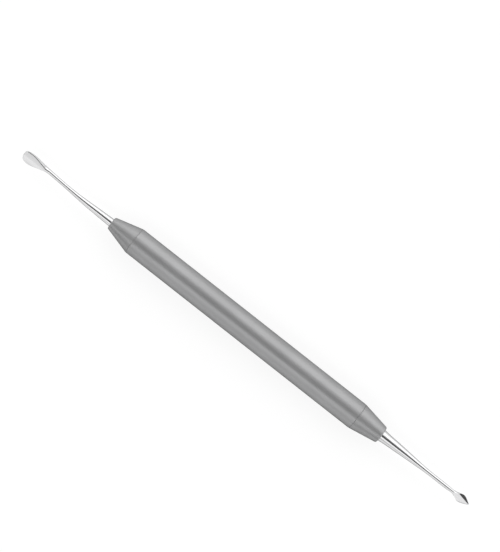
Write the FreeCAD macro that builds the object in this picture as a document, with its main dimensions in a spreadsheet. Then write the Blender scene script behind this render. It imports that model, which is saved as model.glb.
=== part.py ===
import FreeCAD, Part
import math
import os
import Sketcher

# Double-ended periosteal elevator: a hollow round handle closed by two turned
# cones, with a forged and ground working end brazed into each cone.
# Lengths in millimetres, angles in degrees.
# X runs along the handle toward the spade end and Z is up. The handle's
# underside lies on Z = 0, with the origin below the middle of the length.

SIZES = {
    # Handle barrel, a plain tube.
    "barrel_diameter": 9.5,
    "barrel_length": 92.2,
    "barrel_wall": 1.0,
    # Shared by the pieces that meet.
    "seam_break": 0.12,
    "braze_gap": 0.05,
    "tang_end_gap": 0.3,
    "tang_length": 9.0,
    "tang_overlap": 1.0,
    "spigot_length": 4.0,
    "nose_round": 0.5,
    # Cones; the one on the paddle side is the steeper.
    "paddle_cone_length": 9.45,
    "paddle_cone_slope": 15.2,
    "paddle_tang_diameter": 2.0,
    "spade_cone_length": 9.95,
    "spade_cone_slope": 9.9,
    "spade_tang_diameter": 3.0,
    # Paddle end. It is drawn with the ground face upward and then turned about
    # the handle's axis. The shank is measured from its shoulder on the nose
    # outward (at) and the blade and its neck from the tip back (back).
    "paddle_turn": 45.0,
    "paddle_reach": 36.33,
    "paddle_root_at": 0.0,
    "paddle_root_wide": 2.86,
    "paddle_root_deep": "=paddle_root_wide",
    "paddle_root_rise": 0.0,
    "paddle_upper_at": 6.0,
    "paddle_upper_wide": 2.44,
    "paddle_upper_deep": "=paddle_upper_wide",
    "paddle_upper_rise": 0.03,
    "paddle_high_at": 9.5,
    "paddle_high_wide": 2.15,
    "paddle_high_deep": "=paddle_high_wide",
    "paddle_high_rise": 0.09,
    "paddle_middle_at": 12.8,
    "paddle_middle_wide": 1.83,
    "paddle_middle_deep": "=paddle_middle_wide",
    "paddle_middle_rise": 0.06,
    "paddle_low_at": 16.0,
    "paddle_low_wide": 1.56,
    "paddle_low_deep": "=paddle_low_wide",
    "paddle_low_rise": -0.07,
    "paddle_waist_at": 19.0,
    "paddle_waist_wide": 1.42,
    "paddle_waist_deep": "=paddle_waist_wide",
    "paddle_waist_rise": -0.25,
    "paddle_throat_back": 13.53,
    "paddle_throat_wide": 1.44,
    "paddle_throat_deep": "=paddle_throat_wide",
    "paddle_throat_rise": -0.5,
    "paddle_heel_back": 10.33,
    "paddle_heel_wide": 1.5,
    "paddle_heel_deep": "=paddle_heel_wide",
    "paddle_heel_rise": -0.72,
    "paddle_flare_back": 8.13,
    "paddle_flare_wide": 2.1,
    "paddle_flare_deep": 2.05,
    "paddle_flare_rise": -0.6,
    "paddle_belly_back": 5.53,
    "paddle_belly_wide": 4.6,
    "paddle_belly_deep": 2.4,
    "paddle_belly_rise": -0.02,
    "paddle_beyond_past": 1.17,
    "paddle_beyond_wide": 7.4,
    "paddle_beyond_deep": 1.0,
    "paddle_beyond_rise": 0.3,
    # Paddle outline, seen square to its face.
    "paddle_width": 5.16,
    "paddle_widest_back": 2.53,
    "paddle_plan_back": 16.33,
    "paddle_neck_half": 0.9,
    "paddle_neck_flare": 4.0,
    "paddle_side_slope": 19.5,
    "paddle_side_round": 4.8,
    "paddle_corner_round": 1.3,
    "paddle_tip_round": 3.8,
    # Bevel that is stoned on the rim where the hollow face meets the outline.
    "paddle_rim_bevel": 0.15,
    # Crowned wheel that grinds the hollow face of the paddle.
    "wheel_radius": 90.0,
    "wheel_crown": 14.0,
    "wheel_low_back": 5.83,
    "wheel_low_rise": 0.08,
    # Spade end, measured and turned in the same way.
    "spade_turn": 25.0,
    "spade_reach": 36.13,
    "spade_root_at": 0.0,
    "spade_root_wide": 4.12,
    "spade_root_deep": "=spade_root_wide",
    "spade_root_rise": 0.0,
    "spade_collar_at": 2.5,
    "spade_collar_wide": 3.66,
    "spade_collar_deep": "=spade_collar_wide",
    "spade_collar_rise": 0.0,
    "spade_upper_at": 6.5,
    "spade_upper_wide": 3.18,
    "spade_upper_deep": "=spade_upper_wide",
    "spade_upper_rise": 0.0,
    "spade_high_at": 10.0,
    "spade_high_wide": 2.69,
    "spade_high_deep": "=spade_high_wide",
    "spade_high_rise": 0.02,
    "spade_middle_at": 13.0,
    "spade_middle_wide": 2.28,
    "spade_middle_deep": "=spade_middle_wide",
    "spade_middle_rise": 0.08,
    "spade_low_at": 16.5,
    "spade_low_wide": 1.8,
    "spade_low_deep": "=spade_low_wide",
    "spade_low_rise": 0.16,
    "spade_waist_at": 20.0,
    "spade_waist_wide": 1.48,
    "spade_waist_deep": "=spade_waist_wide",
    "spade_waist_rise": 0.2,
    "spade_throat_back": 9.33,
    "spade_throat_wide": 1.46,
    "spade_throat_deep": "=spade_throat_wide",
    "spade_throat_rise": 0.22,
    "spade_heel_back": 6.83,
    "spade_heel_wide": 1.18,
    "spade_heel_deep": "=spade_heel_wide",
    "spade_heel_rise": 0.12,
    "spade_flare_back": 5.33,
    "spade_flare_wide": 1.8,
    "spade_flare_deep": 1.7,
    "spade_flare_rise": 0.3,
    "spade_broad_back": 3.13,
    "spade_broad_wide": 3.8,
    "spade_broad_deep": 2.3,
    "spade_broad_rise": 0.85,
    "spade_beyond_past": 0.87,
    "spade_beyond_wide": 3.8,
    "spade_beyond_deep": 0.7,
    "spade_beyond_rise": 1.05,
    # Spade outline, seen square to its face.
    "spade_width": 3.26,
    "spade_widest_back": 3.33,
    "spade_plan_back": 12.13,
    "spade_neck_half": 0.75,
    "spade_neck_flare": 0.6,
    "spade_side_round": 3.0,
    "spade_point_slope": 30.0,
    # Flat face of the spade and the bevel ground along each side of it. The
    # bevel on the side that the turn raises is broad, the other one is narrow.
    "spade_face_rise": 0.8,
    "bevel_back": 6.13,
    "raised_bevel_from_middle": 1.43,
    "raised_bevel_closing": 12.4,
    "raised_bevel_drop": 27.0,
    "lowered_bevel_from_middle": 2.34,
    "lowered_bevel_closing": 21.0,
    "lowered_bevel_drop": 35.0,
    # Stock that a grinding cut or an outline clears, more than a blade needs.
    "cut_room": 12.0,
    # Worked out from the sizes above.
    "barrel_radius": "=barrel_diameter / 2",
    "bore_radius": "=barrel_radius - barrel_wall",
    "break_radius": "=barrel_radius - seam_break",
    "break_end_at": "=barrel_length - seam_break",
    "spigot_radius": "=bore_radius - braze_gap",
    "spigot_end_at": "=-spigot_length",
    "paddle_break_radius": "=barrel_radius - seam_break * tan(paddle_cone_slope)",
    "paddle_tang_bore": "=paddle_tang_diameter / 2 + braze_gap",
    "paddle_bore_end_at": "=paddle_cone_length - tang_length - tang_end_gap",
    "paddle_cone_fall": "=-paddle_cone_slope",
    "paddle_throat_at": "=paddle_reach - paddle_throat_back",
    "paddle_heel_at": "=paddle_reach - paddle_heel_back",
    "paddle_flare_at": "=paddle_reach - paddle_flare_back",
    "paddle_belly_at": "=paddle_reach - paddle_belly_back",
    "paddle_beyond_at": "=paddle_reach + paddle_beyond_past",
    "paddle_plan_from": "=paddle_reach - paddle_plan_back",
    "paddle_widest_at": "=paddle_reach - paddle_widest_back",
    "paddle_side_centre": "=paddle_width / 2 - paddle_side_round",
    "wheel_low_at": "=paddle_reach - wheel_low_back",
    "spade_break_radius": "=barrel_radius - seam_break * tan(spade_cone_slope)",
    "spade_tang_bore": "=spade_tang_diameter / 2 + braze_gap",
    "spade_bore_end_at": "=spade_cone_length - tang_length - tang_end_gap",
    "spade_cone_fall": "=-spade_cone_slope",
    "spade_throat_at": "=spade_reach - spade_throat_back",
    "spade_heel_at": "=spade_reach - spade_heel_back",
    "spade_flare_at": "=spade_reach - spade_flare_back",
    "spade_broad_at": "=spade_reach - spade_broad_back",
    "spade_beyond_at": "=spade_reach + spade_beyond_past",
    "spade_plan_from": "=spade_reach - spade_plan_back",
    "spade_widest_at": "=spade_reach - spade_widest_back",
    "spade_side_centre": "=spade_width / 2 - spade_side_round",
    "bevel_from": "=spade_reach - bevel_back",
    "spade_point_fall": "=-spade_point_slope",
    "handle_length": "=paddle_cone_length + barrel_length + spade_cone_length",
    "half_length": "=(paddle_reach + handle_length + spade_reach) / 2",
    "paddle_nose_at": "=paddle_reach - half_length",
    "barrel_from": "=paddle_nose_at + paddle_cone_length",
    "barrel_to": "=barrel_from + barrel_length",
    "spade_nose_at": "=barrel_to + spade_cone_length",
}

# Sections that the forged ends are lofted through, in order. A shank runs
# straight from one to the next, and a blade swells smoothly through its own.
SHANKS = {
    "paddle": ("root", "upper", "high", "middle", "low", "waist", "throat", "heel"),
    "spade": ("root", "collar", "upper", "high", "middle", "low", "waist", "throat", "heel"),
}
BLADES = {
    "paddle": ("heel", "flare", "belly", "beyond"),
    "spade": ("heel", "flare", "broad", "beyond"),
}

# Numbers that a sketch gives to the points of a curve and to its own two axes.
START, END, CENTRE = range(1, 4)
LEVEL_AXIS, UPRIGHT_AXIS = range(-1, -3, -1)

ALONG_Y = FreeCAD.Vector(0, 1, 0)
ALONG_Z = FreeCAD.Vector(0, 0, 1)
# Stands a flat ellipse across the shank with its long way along Y.
ACROSS_SHANK = FreeCAD.Rotation(FreeCAD.Vector(1, 1, 1), 120)
# Lays an upright cylinder along X.
ALONG_SHANK = FreeCAD.Rotation(ALONG_Y, 90)
# Stands a flat ring upright in the plane of X and Z.
WHEEL_UPRIGHT = FreeCAD.Rotation(FreeCAD.Vector(1, 0, 0), 90)
# Sides of a box of stock that is cut away.
CUT_ROOM = {"Length": "Sizes.cut_room", "Width": "Sizes.cut_room", "Height": "Sizes.cut_room"}


def write_sizes(doc):
    sheet = doc.addObject("Spreadsheet::Sheet", "Sizes")
    for row, (name, value) in enumerate(SIZES.items(), start=1):
        sheet.set(f"A{row}", name)
        sheet.set(f"B{row}", str(value))
        sheet.setAlias(f"B{row}", name)
    doc.recompute()


def size(doc, name):
    return float(doc.Sizes.get(name))


def bind(item, expressions):
    for name, expression in expressions.items():
        item.setExpression(name, expression)


def body_with_sketch(doc, name):
    body = doc.addObject("PartDesign::Body", name)
    doc.recompute()
    sketch = body.newObject("Sketcher::SketchObject", name + "_profile")
    planes = {feature.Role: feature for feature in body.Origin.OriginFeatures}
    sketch.AttachmentSupport = [(planes["XY_Plane"], "")]
    sketch.MapMode = "FlatFace"
    return body, sketch


def add_line(sketch, start, end):
    return sketch.addGeometry(Part.LineSegment(FreeCAD.Vector(*start), FreeCAD.Vector(*end)))


def add_arc(sketch, centre, radius, first, last):
    """Adds an arc that runs anticlockwise between two angles."""
    circle = Part.Circle(FreeCAD.Vector(*centre), ALONG_Z, radius)
    return sketch.addGeometry(Part.ArcOfCircle(circle, math.radians(first), math.radians(last)))


def dimension(sketch, cell, kind, *where):
    """Adds a dimension that follows one cell of the sheet."""
    value = size(sketch.Document, cell)
    if kind == "Angle":
        value = math.radians(value)
    index = sketch.addConstraint(Sketcher.Constraint(kind, *where, value))
    sketch.renameConstraint(index, f"{cell}_{index}")
    sketch.setExpression(f"Constraints.{cell}_{index}", "Sizes." + cell)


def pin(sketch, curve, point, across, up):
    """Holds a point at two cells; None stands for the sketch's own axis."""
    if across is None:
        sketch.addConstraint(Sketcher.Constraint("PointOnObject", curve, point, UPRIGHT_AXIS))
    else:
        dimension(sketch, across, "DistanceX", LEVEL_AXIS, START, curve, point)
    if up is None:
        sketch.addConstraint(Sketcher.Constraint("PointOnObject", curve, point, LEVEL_AXIS))
    else:
        dimension(sketch, up, "DistanceY", LEVEL_AXIS, START, curve, point)


def join(sketch, kind, *pairs):
    for first, first_point, second, second_point in pairs:
        sketch.addConstraint(Sketcher.Constraint(kind, first, first_point, second, second_point))


def corner(doc, across, up):
    return tuple(0.0 if cell is None else size(doc, cell) for cell in (across, up))


def toward(start, end):
    """Angle of the direction from one point to another."""
    return math.degrees(math.atan2(end[1] - start[1], end[0] - start[0]))


def step(start, distance, angle):
    turn = math.radians(angle)
    return (start[0] + distance * math.cos(turn), start[1] + distance * math.sin(turn))


def circles_meet(centre_a, radius_a, centre_b, radius_b):
    """Meeting point of two circles that lies left of the way from a to b."""
    gap = math.dist(centre_a, centre_b)
    along = (radius_a ** 2 - radius_b ** 2 + gap ** 2) / (2 * gap)
    aside = math.sqrt(radius_a ** 2 - along ** 2)
    way = toward(centre_a, centre_b)
    return step(step(centre_a, along, way), aside, way + 90)


def revolve(body, sketch):
    turned = body.newObject("PartDesign::Revolution", body.Name + "_turned")
    turned.Profile = (sketch, [""])
    turned.ReferenceAxis = (sketch, ["H_Axis"])
    turned.Angle = 360
    body.Tip = turned
    sketch.Visibility = False


def make_barrel(doc):
    """Tube with its outer edge broken at both ends."""
    body, sketch = body_with_sketch(doc, "handle_barrel")
    corners = (
        (None, "bore_radius"),
        ("barrel_length", "bore_radius"),
        ("barrel_length", "break_radius"),
        ("break_end_at", "barrel_radius"),
        ("seam_break", "barrel_radius"),
        (None, "break_radius"),
    )
    spots = [corner(doc, *cells) for cells in corners]
    sides = [add_line(sketch, *ends) for ends in zip(spots, spots[1:] + spots[:1])]
    join(sketch, "Coincident", *((a, END, b, START) for a, b in zip(sides, sides[1:] + sides[:1])))
    for side, cells in zip(sides, corners):
        pin(sketch, side, START, *cells)
    revolve(body, sketch)
    bind(body, {
        "Placement": "placement(vector(Sizes.barrel_from; 0; Sizes.barrel_radius); "
                     "rotation(vector(0; 0; 1); 0))",
    })
    return body


def make_cone(doc, end, placement):
    """Turned nose with a spigot for the barrel and a blind bore for the tang."""
    body, sketch = body_with_sketch(doc, end + "_cone")
    corners = (
        (end + "_cone_length", end + "_tang_bore"),
        (end + "_bore_end_at", end + "_tang_bore"),
        (end + "_bore_end_at", None),
        ("spigot_end_at", None),
        ("spigot_end_at", "spigot_radius"),
        (None, "spigot_radius"),
        (None, "break_radius"),
        ("seam_break", end + "_break_radius"),
    )
    spots = [corner(doc, *cells) for cells in corners]
    sides = [add_line(sketch, *ends) for ends in zip(spots, spots[1:])]
    join(sketch, "Coincident", *((a, END, b, START) for a, b in zip(sides, sides[1:])))

    slope = size(doc, end + "_cone_slope")
    radius = size(doc, "nose_round")
    length = size(doc, end + "_cone_length")
    outer = size(doc, "barrel_radius") - length * math.tan(math.radians(slope))
    centre_up = outer + radius * math.tan(math.radians(slope)) - radius / math.cos(math.radians(slope))
    centre = (length - radius, centre_up)
    rounding = add_arc(sketch, centre, radius, 0, 90 - slope)
    flank = add_line(sketch, spots[-1], step(centre, radius, 90 - slope))
    face = add_line(sketch, step(centre, radius, 0), spots[0])
    join(sketch, "Coincident", (sides[-1], END, flank, START), (face, END, sides[0], START))
    join(sketch, "Tangent", (flank, END, rounding, END), (rounding, START, face, START))

    for side, cells in zip(sides, corners):
        pin(sketch, side, START, *cells)
    pin(sketch, flank, START, *corners[-1])
    sketch.addConstraint(Sketcher.Constraint("Vertical", face))
    dimension(sketch, end + "_cone_fall", "Angle", flank)
    dimension(sketch, "nose_round", "Radius", rounding)
    revolve(body, sketch)
    bind(body, {"Placement": placement})
    return body


def add_section(doc, end, station):
    section = doc.addObject("Part::Ellipse", f"{end}_{station}")
    section.Placement = FreeCAD.Placement(FreeCAD.Vector(), ACROSS_SHANK)
    cell = f"Sizes.{end}_{station}"
    bind(section, {
        "MajorRadius": f"{cell}_wide / 2",
        "MinorRadius": f"{cell}_deep / 2",
        "Placement.Base.x": f"{cell}_at",
        "Placement.Base.z": f"{cell}_rise",
    })
    return section


def add_loft(doc, name, sections, ruled):
    loft = doc.addObject("Part::Loft", name)
    loft.Sections = sections
    loft.Solid = True
    loft.Ruled = ruled
    return loft


def loft_blank(doc, end):
    """Forging of a tapered shank and a flared blade that meet at the heel."""
    sections = {
        station: add_section(doc, end, station)
        for station in dict.fromkeys(SHANKS[end] + BLADES[end])
    }
    shank = [sections[station] for station in SHANKS[end]]
    blade = [sections[station] for station in BLADES[end]]
    blank = doc.addObject("Part::Fuse", end + "_blank")
    blank.Base = add_loft(doc, end + "_shank", shank, ruled=True)
    blank.Tool = add_loft(doc, end + "_blade", blade, ruled=False)
    return blank


def plan_body(doc, end):
    """Body and sketch for the half outline, with its straight sides drawn."""
    body, sketch = body_with_sketch(doc, end + "_plan")
    tip = (size(doc, end + "_reach"), 0)
    back = (size(doc, end + "_plan_from"), 0)
    shoulder = (back[0], size(doc, end + "_neck_half"))
    middle_line = add_line(sketch, tip, back)
    back_line = add_line(sketch, back, shoulder)
    sketch.addConstraint(Sketcher.Constraint("Vertical", back_line))
    join(sketch, "Coincident", (middle_line, END, back_line, START))
    pin(sketch, middle_line, START, end + "_reach", None)
    pin(sketch, middle_line, END, end + "_plan_from", None)
    dimension(sketch, end + "_neck_half", "DistanceY", LEVEL_AXIS, START, back_line, END)
    return body, sketch, middle_line, back_line


def finish_plan(doc, end, body, sketch):
    """Pads the half outline to both sides of the face and mirrors it."""
    pad = body.newObject("PartDesign::Pad", end + "_plan_pad")
    pad.Profile = (sketch, [""])
    pad.Midplane = True
    bind(pad, {"Length": "Sizes.cut_room"})
    planes = {feature.Role: feature for feature in body.Origin.OriginFeatures}
    mirrored = body.newObject("PartDesign::Mirrored", end + "_plan_both")
    mirrored.Originals = [pad]
    mirrored.MirrorPlane = (planes["XZ_Plane"], [""])
    body.Tip = mirrored
    sketch.Visibility = False
    return body


def make_paddle_plan(doc):
    """Outline of the paddle: flared neck, straight taper, blunt round tip."""
    body, sketch, middle_line, back_line = plan_body(doc, "paddle")
    slope = size(doc, "paddle_side_slope")
    flare = size(doc, "paddle_neck_flare")
    side_radius = size(doc, "paddle_side_round")
    corner_radius = size(doc, "paddle_corner_round")
    tip_radius = size(doc, "paddle_tip_round")
    neck_half = size(doc, "paddle_neck_half")
    side_centre = (size(doc, "paddle_widest_at"), size(doc, "paddle_side_centre"))
    side_top = step(side_centre, side_radius, 90 + slope)
    rise = neck_half + flare - side_top[1]
    run = (rise * math.cos(math.radians(slope)) - flare) / math.sin(math.radians(slope))
    flare_centre = (side_top[0] + run, neck_half + flare)
    tip_centre = (size(doc, "paddle_reach") - tip_radius, 0)
    corner_centre = circles_meet(
        tip_centre, tip_radius - corner_radius,
        side_centre, side_radius - corner_radius,
    )
    tip_end = toward(tip_centre, corner_centre)
    side_end = toward(side_centre, corner_centre)

    neck = add_line(sketch, (size(doc, "paddle_plan_from"), neck_half), (flare_centre[0], neck_half))
    neck_arc = add_arc(sketch, flare_centre, flare, -90, slope - 90)
    side = add_line(sketch, step(flare_centre, flare, slope - 90), side_top)
    side_arc = add_arc(sketch, side_centre, side_radius, side_end, 90 + slope)
    corner_arc = add_arc(sketch, corner_centre, corner_radius, tip_end, side_end)
    tip_arc = add_arc(sketch, tip_centre, tip_radius, 0, tip_end)
    join(sketch, "Coincident", (back_line, END, neck, START), (tip_arc, START, middle_line, START))
    join(
        sketch, "Tangent",
        (neck, END, neck_arc, START),
        (neck_arc, END, side, START),
        (side, END, side_arc, END),
        (side_arc, START, corner_arc, END),
        (corner_arc, START, tip_arc, END),
    )
    sketch.addConstraint(Sketcher.Constraint("Horizontal", neck))
    sketch.addConstraint(Sketcher.Constraint("PointOnObject", tip_arc, CENTRE, LEVEL_AXIS))
    dimension(sketch, "paddle_neck_flare", "Radius", neck_arc)
    dimension(sketch, "paddle_side_slope", "Angle", side)
    dimension(sketch, "paddle_side_round", "Radius", side_arc)
    pin(sketch, side_arc, CENTRE, "paddle_widest_at", "paddle_side_centre")
    dimension(sketch, "paddle_corner_round", "Radius", corner_arc)
    dimension(sketch, "paddle_tip_round", "Radius", tip_arc)
    return finish_plan(doc, "paddle", body, sketch)


def make_spade_plan(doc):
    """Outline of the spade: short flared neck, round shoulders, pointed tip."""
    body, sketch, middle_line, back_line = plan_body(doc, "spade")
    slope = size(doc, "spade_point_slope")
    flare = size(doc, "spade_neck_flare")
    side_radius = size(doc, "spade_side_round")
    neck_half = size(doc, "spade_neck_half")
    reach = size(doc, "spade_reach")
    side_centre = (size(doc, "spade_widest_at"), size(doc, "spade_side_centre"))
    rise = neck_half + flare - side_centre[1]
    run = math.sqrt((side_radius + flare) ** 2 - rise ** 2)
    flare_centre = (side_centre[0] - run, neck_half + flare)
    point_start = step(side_centre, side_radius, 90 - slope)
    sharp_tip = point_start[0] + point_start[1] / math.tan(math.radians(slope))
    sine = math.sin(math.radians(slope))
    tip_radius = (sharp_tip - reach) * sine / (1 - sine)
    tip_centre = (reach - tip_radius, 0)

    neck = add_line(sketch, (size(doc, "spade_plan_from"), neck_half), (flare_centre[0], neck_half))
    neck_arc = add_arc(sketch, flare_centre, flare, -90, toward(flare_centre, side_centre))
    side_arc = add_arc(sketch, side_centre, side_radius, 90 - slope, toward(side_centre, flare_centre))
    point = add_line(sketch, point_start, step(tip_centre, tip_radius, 90 - slope))
    tip_arc = add_arc(sketch, tip_centre, tip_radius, 0, 90 - slope)
    join(sketch, "Coincident", (back_line, END, neck, START), (tip_arc, START, middle_line, START))
    join(
        sketch, "Tangent",
        (neck, END, neck_arc, START),
        (neck_arc, END, side_arc, END),
        (side_arc, START, point, START),
        (point, END, tip_arc, END),
    )
    sketch.addConstraint(Sketcher.Constraint("Horizontal", neck))
    sketch.addConstraint(Sketcher.Constraint("PointOnObject", tip_arc, CENTRE, LEVEL_AXIS))
    dimension(sketch, "spade_neck_flare", "Radius", neck_arc)
    dimension(sketch, "spade_side_round", "Radius", side_arc)
    pin(sketch, side_arc, CENTRE, "spade_widest_at", "spade_side_centre")
    dimension(sketch, "spade_point_fall", "Angle", point)
    return finish_plan(doc, "spade", body, sketch)


def make_wheel(doc):
    """Crowned wheel resting in the hollow that it grinds."""
    wheel = doc.addObject("Part::Torus", "paddle_wheel")
    wheel.Placement = FreeCAD.Placement(FreeCAD.Vector(), WHEEL_UPRIGHT)
    bind(wheel, {
        "Radius1": "Sizes.wheel_radius - Sizes.wheel_crown",
        "Radius2": "Sizes.wheel_crown",
        "Placement.Base.x": "Sizes.wheel_low_at",
        "Placement.Base.z": "Sizes.wheel_low_rise + Sizes.wheel_radius",
    })
    return wheel


def make_bevel_cut(doc, side):
    """Stock above one bevel, drawn on the far side of the middle line."""
    cut = doc.addObject("Part::Box", side + "_bevel_cut")
    cell = f"Sizes.{side}_bevel"
    bind(cut, CUT_ROOM)
    bind(cut, {
        "Placement": f"placement(vector(Sizes.bevel_from; {cell}_from_middle; Sizes.spade_face_rise); "
                     f"rotation(vector(0; 0; 1); -{cell}_closing) * "
                     f"rotation(vector(1; 0; 0); -{cell}_drop))",
    })
    return cut


def make_spade_cuts(doc):
    """Stock above the spade's flat face and above the bevel on each side."""
    above = doc.addObject("Part::Box", "spade_face_cut")
    bind(above, CUT_ROOM)
    bind(above, {
        "Placement.Base.x": "Sizes.spade_heel_at",
        "Placement.Base.y": "-Sizes.cut_room / 2",
        "Placement.Base.z": "Sizes.spade_face_rise",
    })
    lowered = doc.addObject("Part::Mirroring", "lowered_bevel_cut_mirrored")
    lowered.Source = make_bevel_cut(doc, "lowered")
    lowered.Normal = ALONG_Y
    cuts = doc.addObject("Part::MultiFuse", "spade_cuts")
    cuts.Shapes = [above, make_bevel_cut(doc, "raised"), lowered]
    return cuts


def make_tang(doc, end):
    tang = doc.addObject("Part::Cylinder", end + "_tang")
    tang.Placement = FreeCAD.Placement(FreeCAD.Vector(), ALONG_SHANK)
    bind(tang, {
        "Radius": f"Sizes.{end}_tang_diameter / 2",
        "Height": "Sizes.tang_length + Sizes.tang_overlap",
        "Placement.Base.x": "-Sizes.tang_length",
    })
    return tang


def make_waste(doc, end, plan):
    """Stock around the blade that lies outside its outline."""
    stock = doc.addObject("Part::Box", end + "_stock")
    bind(stock, {
        "Length": f"Sizes.{end}_reach - Sizes.{end}_plan_from + Sizes.cut_room / 2",
        "Width": "Sizes.cut_room",
        "Height": "Sizes.cut_room",
        "Placement.Base.x": f"Sizes.{end}_plan_from",
        "Placement.Base.y": "-Sizes.cut_room / 2",
        "Placement.Base.z": "-Sizes.cut_room / 2",
    })
    waste = doc.addObject("Part::Cut", end + "_waste")
    waste.Base = stock
    waste.Tool = plan
    return waste


def make_working_end(doc, end, plan, cuts):
    """Forged blank trimmed to its outline, ground, and joined to its tang."""
    trimmed = doc.addObject("Part::Cut", end + "_trimmed")
    trimmed.Base = loft_blank(doc, end)
    trimmed.Tool = make_waste(doc, end, plan)
    ground = doc.addObject("Part::Cut", end + "_ground")
    ground.Base = trimmed
    ground.Tool = cuts
    whole = doc.addObject("Part::Fuse", end + "_whole")
    whole.Base = ground
    whole.Tool = make_tang(doc, end)
    return whole


def bevel_rim(doc, paddle):
    """Paddle end with the rim between its hollow face and its outline bevelled."""
    body = doc.addObject("PartDesign::Body", "paddle_stoned")
    body.BaseFeature = paddle
    doc.recompute()
    given = body.Group[0]
    sides = {"Part::GeomPlane", "Part::GeomCylinder"}
    rim = []
    for number, edge in enumerate(given.Shape.Edges, start=1):
        faces = {face.Surface.TypeId for face in given.Shape.ancestorsOfType(edge, Part.Face)}
        if "Part::GeomToroid" in faces and faces & sides:
            rim.append(f"Edge{number}")
    bevel = body.newObject("PartDesign::Chamfer", "paddle_rim")
    bevel.Base = (given, rim)
    bind(bevel, {"Size": "Sizes.paddle_rim_bevel"})
    body.Tip = bevel
    return body


def check(doc, pieces):
    for item in doc.Objects:
        if "Invalid" in item.State or "Error" in item.State:
            raise RuntimeError(f"{item.Name} did not compute: {item.State}")
    for piece in pieces:
        shape = piece.Shape
        if shape.isNull() or not shape.isValid() or len(shape.Solids) != 1:
            raise RuntimeError(f"{piece.Label} is not one sound solid")


def main():
    doc = FreeCAD.newDocument("periosteal_elevator")
    write_sizes(doc)
    paddle = make_working_end(doc, "paddle", make_paddle_plan(doc), make_wheel(doc))
    pieces = {
        "handle_barrel": make_barrel(doc),
        "paddle_cone": make_cone(
            doc, "paddle",
            "placement(vector(Sizes.barrel_from; 0; Sizes.barrel_radius); rotation(vector(0; 0; 1); 180))",
        ),
        "spade_cone": make_cone(
            doc, "spade",
            "placement(vector(Sizes.barrel_to; 0; Sizes.barrel_radius); rotation(vector(0; 0; 1); 0))",
        ),
        "paddle_end": bevel_rim(doc, paddle),
        "spade_end": make_working_end(doc, "spade", make_spade_plan(doc), make_spade_cuts(doc)),
    }
    bind(pieces["paddle_end"], {
        "Placement": "placement(vector(Sizes.paddle_nose_at; 0; Sizes.barrel_radius); "
                     "rotation(vector(1; 0; 0); Sizes.paddle_turn) * rotation(vector(0; 0; 1); 180))",
    })
    bind(pieces["spade_end"], {
        "Placement": "placement(vector(Sizes.spade_nose_at; 0; Sizes.barrel_radius); "
                     "rotation(vector(1; 0; 0); Sizes.spade_turn))",
    })
    for label, piece in pieces.items():
        piece.Label = label
    doc.recompute()
    check(doc, pieces.values())
    os.makedirs("parts", exist_ok=True)
    for label, piece in pieces.items():
        piece.Shape.exportStep(f"parts/{label}.step")


main()
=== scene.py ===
import math

import bpy
from mathutils import Matrix, Vector

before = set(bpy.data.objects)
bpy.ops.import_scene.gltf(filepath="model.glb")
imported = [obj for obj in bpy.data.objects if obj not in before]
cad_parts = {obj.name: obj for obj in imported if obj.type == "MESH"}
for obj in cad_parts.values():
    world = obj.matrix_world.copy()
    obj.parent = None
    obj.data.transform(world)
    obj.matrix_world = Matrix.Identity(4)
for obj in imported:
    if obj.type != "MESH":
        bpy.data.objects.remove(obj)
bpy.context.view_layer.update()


# Handle barrel.
# A drawn steel tube, blasted with fine beads until it is an even satin grey.
# Both ends have their edge broken, so each seam with a cone shows as a fine line.

def new_node(tree, kind, **settings):
    """A new node of a tree, with the inputs and plain settings that are given."""
    node = tree.nodes.new(kind)
    for name, value in settings.items():
        socket = name.replace("_", " ")
        if socket in node.inputs:
            node.inputs[socket].default_value = value
        else:
            setattr(node, name, value)
    return node


def set_stops(ramp, stops):
    """Gives a colour ramp its stops, each a position from 0 to 1 and a colour."""
    elements = ramp.color_ramp.elements
    for index, (position, colour) in enumerate(stops):
        element = elements[index] if index < 2 else elements.new(position)
        element.position = position
        element.color = (*colour, 1)


def new_steel(name, specular_tint):
    """A material of bare steel; the tint darkens what it mirrors at a grazing angle."""
    material = bpy.data.materials.new(name)
    material.use_nodes = True
    shader = material.node_tree.nodes["Principled BSDF"]
    shader.inputs["Metallic"].default_value = 1.0
    shader.inputs["Specular Tint"].default_value = (specular_tint, specular_tint, specular_tint, 1)
    return material, material.node_tree, shader


def wear_with(tree, shader, texture, roughness, bump):
    """Lets one fine texture vary the roughness and raise the surface a little."""
    rough = new_node(tree, "ShaderNodeMapRange", To_Min=roughness[0], To_Max=roughness[1])
    raised = new_node(tree, "ShaderNodeBump", Strength=bump[0], Distance=bump[1])
    tree.links.new(texture.outputs["Fac"], rough.inputs["Value"])
    tree.links.new(rough.outputs["Result"], shader.inputs["Roughness"])
    tree.links.new(texture.outputs["Fac"], raised.inputs["Height"])
    tree.links.new(raised.outputs["Normal"], shader.inputs["Normal"])


def tone_with(tree, shader, texture, darker, lighter):
    """Lets a texture move the steel's colour between two near greys."""
    tone = tree.nodes.new("ShaderNodeValToRGB")
    set_stops(tone, ((0.3, darker), (0.7, lighter)))
    tree.links.new(texture.outputs["Fac"], tone.inputs["Fac"])
    tree.links.new(tone.outputs["Color"], shader.inputs["Base Color"])


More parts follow.
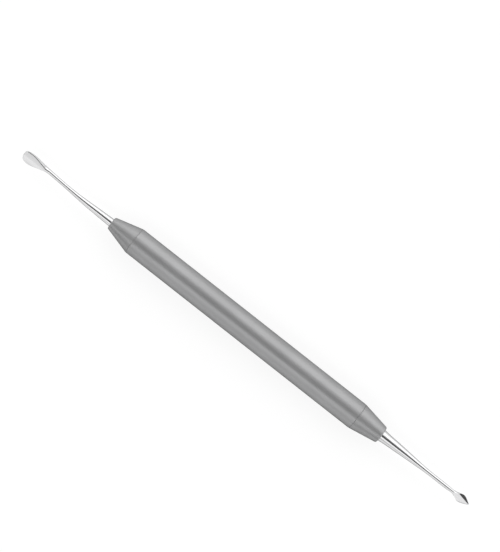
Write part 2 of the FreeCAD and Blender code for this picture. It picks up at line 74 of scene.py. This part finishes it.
def smooth_turned_faces(piece, crease_degrees):
    """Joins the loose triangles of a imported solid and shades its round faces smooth."""
    tree = bpy.data.node_groups.new(piece.name + "_smooth", "GeometryNodeTree")
    tree.interface.new_socket("Geometry", in_out="INPUT", socket_type="NodeSocketGeometry")
    tree.interface.new_socket("Geometry", in_out="OUTPUT", socket_type="NodeSocketGeometry")
    given = tree.nodes.new("NodeGroupInput")
    result = tree.nodes.new("NodeGroupOutput")
    joined = new_node(tree, "GeometryNodeMergeByDistance", Distance=1e-6)
    angle = tree.nodes.new("GeometryNodeInputMeshEdgeAngle")
    gentle = new_node(tree, "FunctionNodeCompare", data_type="FLOAT", operation="LESS_THAN")
    gentle.inputs["B"].default_value = math.radians(crease_degrees)
    faces = new_node(tree, "GeometryNodeSetShadeSmooth", domain="FACE")
    edges = new_node(tree, "GeometryNodeSetShadeSmooth", domain="EDGE")
    tree.links.new(given.outputs["Geometry"], joined.inputs["Geometry"])
    tree.links.new(joined.outputs["Geometry"], faces.inputs["Geometry"])
    tree.links.new(faces.outputs["Geometry"], edges.inputs["Geometry"])
    tree.links.new(angle.outputs["Unsigned Angle"], gentle.inputs["A"])
    tree.links.new(gentle.outputs["Result"], edges.inputs["Shade Smooth"])
    tree.links.new(edges.outputs["Geometry"], result.inputs["Geometry"])
    modifier = piece.modifiers.new("smooth", "NODES")
    modifier.node_group = tree


def finish_with(piece, material):
    """Gives every face of a piece one finish."""
    for slot in piece.material_slots:
        slot.material = material
    if not piece.material_slots:
        piece.data.materials.append(material)


satin_steel, tree, shader = new_steel("satin_steel", specular_tint=0.08)
# The blasted skin is half dull, so it darkens toward the outline of the handle.
shader.inputs["Metallic"].default_value = 0.5
shader.inputs["Specular IOR Level"].default_value = 0.0
place = tree.nodes.new("ShaderNodeTexCoord")
cloud = new_node(tree, "ShaderNodeTexNoise", Scale=90.0, Detail=3.0, Roughness=0.5)
grain = new_node(tree, "ShaderNodeTexNoise", Scale=9000.0, Detail=2.0, Roughness=0.6)
tree.links.new(place.outputs["Object"], cloud.inputs["Vector"])
tree.links.new(place.outputs["Object"], grain.inputs["Vector"])
tone_with(tree, shader, cloud, darker=(0.354, 0.355, 0.358), lighter=(0.384, 0.385, 0.388))
wear_with(tree, shader, grain, roughness=(0.32, 0.38), bump=(0.12, 0.00002))

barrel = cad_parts["handle_barrel"]
smooth_turned_faces(barrel, 25)
finish_with(barrel, satin_steel)


# Cones.
# Turned steel noses that close the barrel, blasted with it after assembly.
# The one on the paddle side is steeper, and each has a softly rounded nose.

for name in ("paddle_cone", "spade_cone"):
    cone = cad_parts[name]
    smooth_turned_faces(cone, 32)
    finish_with(cone, satin_steel)


# Working ends.
# The tapered shanks and their blades are forged as one, ground and polished
# bright, and brazed into the cones. The polishing lines run along the shanks.

polished_steel, tree, shader = new_steel("polished_steel", specular_tint=0.1)
place = tree.nodes.new("ShaderNodeTexCoord")
drawn_out = new_node(tree, "ShaderNodeMapping", Scale=(60.0, 4000.0, 4000.0))
lines = new_node(tree, "ShaderNodeTexNoise", Scale=1.0, Detail=3.0, Roughness=0.6)
tree.links.new(place.outputs["Object"], drawn_out.inputs["Vector"])
tree.links.new(drawn_out.outputs["Vector"], lines.inputs["Vector"])
tone_with(tree, shader, lines, darker=(0.64, 0.64, 0.645), lighter=(0.70, 0.70, 0.705))
wear_with(tree, shader, lines, roughness=(0.12, 0.2), bump=(0.05, 0.00001))

for name in ("paddle_end", "spade_end"):
    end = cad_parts[name]
    smooth_turned_faces(end, 22)
    finish_with(end, polished_steel)


# Floor.
# A wide white sheet that the instrument lies on. It glows as much as it lacks to
# be white for the camera and in the steel, and still takes the soft shadow.

half = 2.0
paper_grey = 0.2
paper_glow = 0.84

mesh = bpy.data.meshes.new("floor")
mesh.from_pydata(
    [(-half, -half, 0), (half, -half, 0), (half, half, 0), (-half, half, 0)], [], [(0, 1, 2, 3)]
)
floor = bpy.data.objects.new("floor", mesh)
bpy.context.scene.collection.objects.link(floor)
floor_paper = bpy.data.materials.new("floor_paper")
floor_paper.use_nodes = True
tree = floor_paper.node_tree
tree.nodes.clear()
out = tree.nodes.new("ShaderNodeOutputMaterial")
paper = new_node(tree, "ShaderNodeBsdfDiffuse", Color=(paper_grey, paper_grey, paper_grey, 1))
glow = tree.nodes.new("ShaderNodeEmission")
path = tree.nodes.new("ShaderNodeLightPath")
seen = new_node(tree, "ShaderNodeMath", operation="MAXIMUM")
seen_or_through = new_node(tree, "ShaderNodeMath", operation="MAXIMUM")
level = new_node(tree, "ShaderNodeMath", operation="MULTIPLY")
level.inputs[1].default_value = paper_glow
both = tree.nodes.new("ShaderNodeAddShader")
tree.links.new(path.outputs["Is Camera Ray"], seen.inputs[0])
tree.links.new(path.outputs["Is Glossy Ray"], seen.inputs[1])
tree.links.new(seen.outputs[0], seen_or_through.inputs[0])
tree.links.new(path.outputs["Is Transmission Ray"], seen_or_through.inputs[1])
tree.links.new(seen_or_through.outputs[0], level.inputs[0])
tree.links.new(level.outputs[0], glow.inputs["Strength"])
tree.links.new(paper.outputs[0], both.inputs[0])
tree.links.new(glow.outputs[0], both.inputs[1])
tree.links.new(both.outputs[0], out.inputs["Surface"])
floor.data.materials.append(floor_paper)


# Studio light.
# Pale walls around the instrument, with one dark strip overhead that runs along
# the handle, and a long soft lamp at each side.

# Levels of the room across the handle, from -1 at the near horizon over 0
# straight up to 1 at the far horizon.
near_wall = ((-1.0, 1.25), (-0.985, 1.15), (-0.94, 0.95), (-0.8, 0.42), (-0.65, 0.65), (-0.42, 0.95))
dark_strip = ((-0.3, 0.09), (0.25, 0.09))
far_wall = ((0.34, 0.74), (0.75, 0.65), (0.88, 0.55), (1.0, 0.48))
# Share of a darker corner that stands low in the near wall, on the same scale.
near_corners = ((-0.994, 0.0), (-0.98, 1.0), (-0.76, 1.0), (-0.6, 0.0))
corner_level = 0.15
# The room beyond each end of the handle is bright.
end_level = 1.4


def wall_ramp(tree, across, levels):
    """A ramp of greys over the direction across the handle."""
    ramp = tree.nodes.new("ShaderNodeValToRGB")
    set_stops(ramp, [((aside + 1) / 2, (grey, grey, grey)) for aside, grey in levels])
    tree.links.new(across.outputs[0], ramp.inputs["Fac"])
    return ramp


def mixed(tree, share, first, level):
    """A colour that gives way to a plain grey by a share from 0 to 1."""
    mix = new_node(tree, "ShaderNodeMix", data_type="RGBA")
    share_socket, first_socket, second_socket = (mix.inputs[index] for index in (0, 6, 7))
    second_socket.default_value = (level, level, level, 1)
    tree.links.new(share, share_socket)
    tree.links.new(first, first_socket)
    return mix.outputs[2]


world = bpy.data.worlds.new("studio")
bpy.context.scene.world = world
world.use_nodes = True
tree = world.node_tree
air = tree.nodes["Background"]
place = tree.nodes.new("ShaderNodeTexCoord")
way = tree.nodes.new("ShaderNodeSeparateXYZ")
square_to_handle = tree.nodes.new("ShaderNodeCombineXYZ")
unit = new_node(tree, "ShaderNodeVectorMath", operation="NORMALIZE")
leaning = tree.nodes.new("ShaderNodeSeparateXYZ")
across = new_node(tree, "ShaderNodeMath", operation="MULTIPLY_ADD")
across.inputs[1].default_value = 0.5
across.inputs[2].default_value = 0.5
endways = new_node(tree, "ShaderNodeMath", operation="ABSOLUTE")
tree.links.new(place.outputs["Generated"], way.inputs[0])
tree.links.new(way.outputs["Y"], square_to_handle.inputs["Y"])
tree.links.new(way.outputs["Z"], square_to_handle.inputs["Z"])
tree.links.new(square_to_handle.outputs[0], unit.inputs[0])
tree.links.new(unit.outputs[0], leaning.inputs[0])
tree.links.new(leaning.outputs["Y"], across.inputs[0])
tree.links.new(way.outputs["X"], endways.inputs[0])

wall = wall_ramp(tree, across, near_wall + dark_strip + far_wall)
low_near = wall_ramp(tree, across, near_corners)
aside = new_node(tree, "ShaderNodeMapRange", From_Min=0.2, From_Max=0.4)
in_corner = new_node(tree, "ShaderNodeMath", operation="MULTIPLY")
far_end = new_node(tree, "ShaderNodeMapRange", From_Min=0.6, From_Max=0.9)
tree.links.new(endways.outputs[0], aside.inputs["Value"])
tree.links.new(low_near.outputs["Color"], in_corner.inputs[0])
tree.links.new(aside.outputs["Result"], in_corner.inputs[1])
tree.links.new(endways.outputs[0], far_end.inputs["Value"])
with_corners = mixed(tree, in_corner.outputs[0], wall.outputs["Color"], corner_level)
with_ends = mixed(tree, far_end.outputs["Result"], with_corners, end_level)
tree.links.new(with_ends, air.inputs["Color"])
air.inputs["Strength"].default_value = 1.0


def soft_lamp(name, side, elevation, width, radiance):
    """A long rectangular lamp beside the instrument that faces it."""
    distance = 1.6
    length = 2.6
    data = bpy.data.lights.new(name, "AREA")
    data.shape = "RECTANGLE"
    data.size = length
    data.size_y = width
    data.energy = radiance * math.pi * length * width
    lamp = bpy.data.objects.new(name, data)
    turn = math.radians(elevation)
    away = Vector((0, side * math.cos(turn), math.sin(turn)))
    along = Vector((1, 0, 0))
    facing = Matrix((along, away.cross(along), away)).transposed()
    lamp.matrix_world = Matrix.Translation(away * distance) @ facing.to_4x4()
    lamp.visible_camera = False
    bpy.context.scene.collection.objects.link(lamp)


soft_lamp("far_lamp", side=1, elevation=29, width=1.6, radiance=1.15)
soft_lamp("near_lamp", side=-1, elevation=49, width=0.95, radiance=0.7)


# Camera.
# It looks straight down, turned so that the handle lies as in the photograph.

image_width = 500
image_height = 552
metres_per_pixel = 0.0003253
middle_in_image = (246.24, 328.75)
handle_slope = math.radians(38.19)
handle_axis_height = 0.00475
height = 0.55
film_width = 36.0

image_right = Vector((math.cos(handle_slope), math.sin(handle_slope), 0))
image_up = Vector((-math.sin(handle_slope), math.cos(handle_slope), 0))
straight_up = Vector((0, 0, 1))
centre = (
    image_right * (image_width / 2 - middle_in_image[0]) * metres_per_pixel
    + image_up * (middle_in_image[1] - image_height / 2) * metres_per_pixel
)
camera_data = bpy.data.cameras.new("camera")
camera_data.sensor_width = film_width
camera_data.lens = film_width * height / (image_height * metres_per_pixel)
camera = bpy.data.objects.new("camera", camera_data)
turned = Matrix((image_right, image_up, straight_up)).transposed()
lens_at = centre + straight_up * (handle_axis_height + height)
camera.matrix_world = Matrix.Translation(lens_at) @ turned.to_4x4()
bpy.context.scene.collection.objects.link(camera)
bpy.context.scene.camera = camera
bpy.context.scene.view_settings.view_transform = "Standard"
